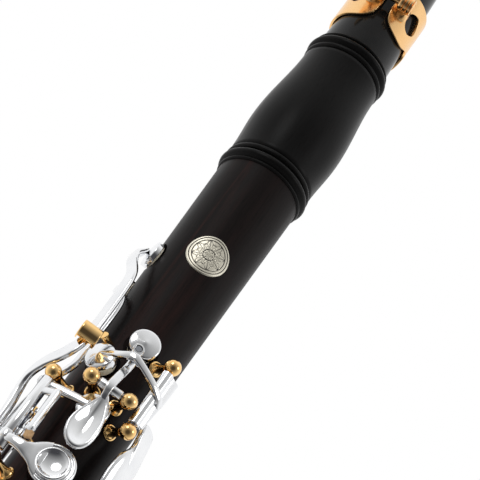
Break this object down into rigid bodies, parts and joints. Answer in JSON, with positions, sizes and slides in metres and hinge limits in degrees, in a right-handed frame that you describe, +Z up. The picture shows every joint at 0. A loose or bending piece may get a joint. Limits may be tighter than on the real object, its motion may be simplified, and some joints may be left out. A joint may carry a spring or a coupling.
{
  "type": "soprano clarinet",
  "caption": "Soprano clarinet in dark wood with silver-plated key work on gold ball posts, standing on its bell; every key, ring and lever turns on its own rod.",
  "frame": {"origin": "centre of the bell rim, on the surface that the clarinet stands on", "axes": "+Z up the bore towards the mouthpiece, -Y is the front with the finger holes, +X is the right seen from the front"},
  "size_m": [0.079, 0.079, 0.673],
  "materials": {
    "joint_wood": "satin",
    "barrel_wood": "satin",
    "ebonite": "gloss",
    "cane": "satin",
    "rose_gold": "polished",
    "pale_metal": "satin",
    "gold_plate": "polished",
    "cork": "matte",
    "pad_skin": "satin",
    "steel": "satin",
    "tube_metal": "satin",
    "silver_plate": "polished"
  },
  "bodies": {
    "instrument": {"upper_joint_body": "joint_wood", "lower_joint_body": "joint_wood", "bell": "barrel_wood", "tenon_corks": "cork", "medallion": "pale_metal", "register_tube": "tube_metal", "thumb_tube": "tube_metal", "upper_posts": "gold_plate", "lower_posts": "gold_plate", "trill_key_guide": "gold_plate", "hinge_rods": "steel", "needle_springs": "steel", "thumb_rest": "silver_plate", "thumb_rest_screws": "steel"},
    "head": {"mouthpiece": "ebonite", "mouthpiece_cork": "cork", "reed": "cane", "ligature_band": "rose_gold", "barrel": "barrel_wood"},
    "ligature_screw": {"ligature_screw": "rose_gold"},
    "register_key": {"register_key": "silver_plate", "register_pad": "cork"},
    "a_key": {"a_key": "silver_plate", "a_pad": "pad_skin"},
    "g_sharp_key": {"g_sharp_key": "silver_plate", "g_sharp_pad": "pad_skin", "adjusting_screw": "steel"},
    "first_finger_key": {"first_finger_key": "silver_plate", "first_finger_pads": "pad_skin"},
    "thumb_ring_key": {"thumb_ring_key": "silver_plate"},
    "upper_trill_key": {"upper_trill_key": "silver_plate", "upper_trill_pad": "pad_skin"},
    "lower_trill_key": {"lower_trill_key": "silver_plate", "lower_trill_pad": "pad_skin"},
    "side_b_flat_key": {"side_b_flat_key": "silver_plate", "side_b_flat_pad": "pad_skin"},
    "side_e_flat_key": {"side_e_flat_key": "silver_plate", "side_e_flat_pad": "pad_skin"},
    "second_finger_key": {"second_finger_key": "silver_plate", "second_finger_pad": "pad_skin"},
    "left_sliver_key": {"left_sliver_key": "silver_plate", "left_sliver_pad": "pad_skin"},
    "c_sharp_key": {"c_sharp_key": "silver_plate", "c_sharp_pad": "pad_skin"},
    "right_ring_key": {"right_ring_key": "silver_plate", "right_ring_pad": "pad_skin"},
    "right_sliver_key": {"right_sliver_key": "silver_plate", "right_sliver_pad": "pad_skin"},
    "f_c_key": {"f_c_key": "silver_plate", "f_c_pad": "pad_skin"},
    "a_flat_key": {"a_flat_key": "silver_plate", "a_flat_pad": "pad_skin"},
    "f_sharp_key": {"f_sharp_key": "silver_plate", "f_sharp_pad": "pad_skin"},
    "e_b_key": {"e_b_key": "silver_plate", "e_b_pad": "pad_skin"},
    "left_f_lever": {"left_f_lever": "silver_plate"},
    "left_f_sharp_lever": {"left_f_sharp_lever": "silver_plate"},
    "left_e_lever": {"left_e_lever": "silver_plate"}
  },
  "joints": [
    {"name": "register_key_pivot", "type": "hinge", "parent": "instrument", "child": "register_key", "pos_m": [0, 0.021, 0.47], "axis": [-1, 0, 0], "range_deg": [0, 4.5], "stiffness_Nm_per_rad": 0.05, "springref_deg": -8.59},
    {"name": "a_key_pivot", "type": "hinge", "parent": "instrument", "child": "a_key", "pos_m": [-0.00076, -0.02169, 0.435], "axis": [0.9994, -0.0349, 0], "range_deg": [0, 4.9], "stiffness_Nm_per_rad": 0.05, "springref_deg": -8.59},
    {"name": "g_sharp_key_pivot", "type": "hinge", "parent": "instrument", "child": "g_sharp_key", "pos_m": [0.01067, -0.01924, 0.4412], "axis": [0, 0, 1], "range_deg": [0, 6.6], "stiffness_Nm_per_rad": 0.05, "springref_deg": -8.59},
    {"name": "first_finger_key_pivot", "type": "hinge", "parent": "instrument", "child": "first_finger_key", "pos_m": [-0.01734, -0.01354, 0.416], "axis": [0, 0, 1], "range_deg": [0, 7.5], "stiffness_Nm_per_rad": 0.05, "springref_deg": -8.59},
    {"name": "thumb_ring_key_pivot", "type": "hinge", "parent": "instrument", "child": "thumb_ring_key", "pos_m": [-0.01615, 0.01262, 0.418], "axis": [0, 0, -1], "range_deg": [0, 5.5], "stiffness_Nm_per_rad": 0.05, "springref_deg": -8.59},
    {"name": "upper_trill_key_pivot", "type": "hinge", "parent": "instrument", "child": "upper_trill_key", "pos_m": [-0.02195, -0.00153, 0.3945], "axis": [0.0698, -0.9976, 0], "range_deg": [0, 1.1], "stiffness_Nm_per_rad": 0.05, "springref_deg": -8.59},
    {"name": "lower_trill_key_pivot", "type": "hinge", "parent": "instrument", "child": "lower_trill_key", "pos_m": [-0.02195, -0.00153, 0.3945], "axis": [0.0698, -0.9976, 0], "range_deg": [0, 1.3], "stiffness_Nm_per_rad": 0.05, "springref_deg": -8.59},
    {"name": "side_b_flat_key_pivot", "type": "hinge", "parent": "instrument", "child": "side_b_flat_key", "pos_m": [-0.0195, 0.00634, 0.365], "axis": [0, 0, 1], "range_deg": [0, 12], "stiffness_Nm_per_rad": 0.05, "springref_deg": -8.59},
    {"name": "side_e_flat_key_pivot", "type": "hinge", "parent": "instrument", "child": "side_e_flat_key", "pos_m": [-0.0195, 0.00634, 0.342], "axis": [0, 0, 1], "range_deg": [0, 12], "stiffness_Nm_per_rad": 0.05, "springref_deg": -8.59},
    {"name": "second_finger_key_pivot", "type": "hinge", "parent": "instrument", "child": "second_finger_key", "pos_m": [-0.01734, -0.01354, 0.369], "axis": [0, 0, 1], "range_deg": [0, 6], "stiffness_Nm_per_rad": 0.05, "springref_deg": -8.59},
    {"name": "left_sliver_key_pivot", "type": "hinge", "parent": "instrument", "child": "left_sliver_key", "pos_m": [0.01318, -0.0157, 0.362], "axis": [0, 0, -1], "range_deg": [0, 10], "stiffness_Nm_per_rad": 0.05, "springref_deg": -8.59},
    {"name": "c_sharp_key_pivot", "type": "hinge", "parent": "instrument", "child": "c_sharp_key", "pos_m": [0.01781, -0.01113, 0.3415], "axis": [0, 0, 1], "range_deg": [0, 10], "stiffness_Nm_per_rad": 0.05, "springref_deg": -8.59},
    {"name": "right_ring_key_pivot", "type": "hinge", "parent": "instrument", "child": "right_ring_key", "pos_m": [-0.01694, -0.01324, 0.284], "axis": [0, 0, 1], "range_deg": [0, 6], "stiffness_Nm_per_rad": 0.05, "springref_deg": -8.59},
    {"name": "right_sliver_key_pivot", "type": "hinge", "parent": "instrument", "child": "right_sliver_key", "pos_m": [0.0135, -0.01609, 0.27], "axis": [0, 0, -1], "range_deg": [0, 10], "stiffness_Nm_per_rad": 0.05, "springref_deg": -8.59},
    {"name": "f_c_key_pivot", "type": "hinge", "parent": "instrument", "child": "f_c_key", "pos_m": [-0.0135, -0.01609, 0.224], "axis": [0, 0, 1], "range_deg": [0, 8], "stiffness_Nm_per_rad": 0.05, "springref_deg": -8.59},
    {"name": "a_flat_key_pivot", "type": "hinge", "parent": "instrument", "child": "a_flat_key", "pos_m": [-0.0135, -0.01609, 0.19], "axis": [0, 0, -1], "range_deg": [0, 9], "stiffness_Nm_per_rad": 0.05, "springref_deg": -8.59},
    {"name": "f_sharp_key_pivot", "type": "hinge", "parent": "instrument", "child": "f_sharp_key", "pos_m": [-0.02038, -0.00508, 0.205], "axis": [0, 0, 1], "range_deg": [0, 9], "stiffness_Nm_per_rad": 0.05, "springref_deg": -8.59},
    {"name": "e_b_key_pivot", "type": "hinge", "parent": "instrument", "child": "e_b_key", "pos_m": [-0.02068, 0.00365, 0.201], "axis": [0, 0, 1], "range_deg": [0, 9], "stiffness_Nm_per_rad": 0.05, "springref_deg": -8.59},
    {"name": "left_f_lever_pivot", "type": "hinge", "parent": "instrument", "child": "left_f_lever", "pos_m": [0.02099, -0.00073, 0.286], "axis": [0, 0, -1], "range_deg": [0, 7], "stiffness_Nm_per_rad": 0.05, "springref_deg": -8.59},
    {"name": "left_f_sharp_lever_pivot", "type": "hinge", "parent": "instrument", "child": "left_f_sharp_lever", "pos_m": [0.02019, 0.00579, 0.28], "axis": [0, 0, -1], "range_deg": [0, 7], "stiffness_Nm_per_rad": 0.05, "springref_deg": -8.59},
    {"name": "left_e_lever_pivot", "type": "hinge", "parent": "instrument", "child": "left_e_lever", "pos_m": [0.01741, 0.01174, 0.274], "axis": [0, 0, -1], "range_deg": [0, 7], "stiffness_Nm_per_rad": 0.05, "springref_deg": -8.59},
    {"name": "ligature_screw_turn", "type": "hinge", "parent": "head", "child": "ligature_screw", "pos_m": [-0.00166, -0.01722, 0.6217], "axis": [0.9954, -0.0958, 0], "range_deg": [-180, 180]},
    {"name": "barrel_tuning_slide", "type": "slide", "parent": "instrument", "child": "head", "axis": [0, 0, 1], "range_m": [0, 0.003]}
  ],
  "couplings": [
    {"joint": "g_sharp_key_pivot", "follows": "a_key_pivot", "ratio": 1.28},
    {"joint": "thumb_ring_key_pivot", "follows": "first_finger_key_pivot", "ratio": 0.7333},
    {"joint": "second_finger_key_pivot", "follows": "right_ring_key_pivot", "ratio": 1},
    {"joint": "left_f_lever_pivot", "follows": "f_c_key_pivot", "ratio": 0.8625},
    {"joint": "left_f_sharp_lever_pivot", "follows": "f_sharp_key_pivot", "ratio": 0.7667},
    {"joint": "left_e_lever_pivot", "follows": "e_b_key_pivot", "ratio": 0.7667}
  ]
}
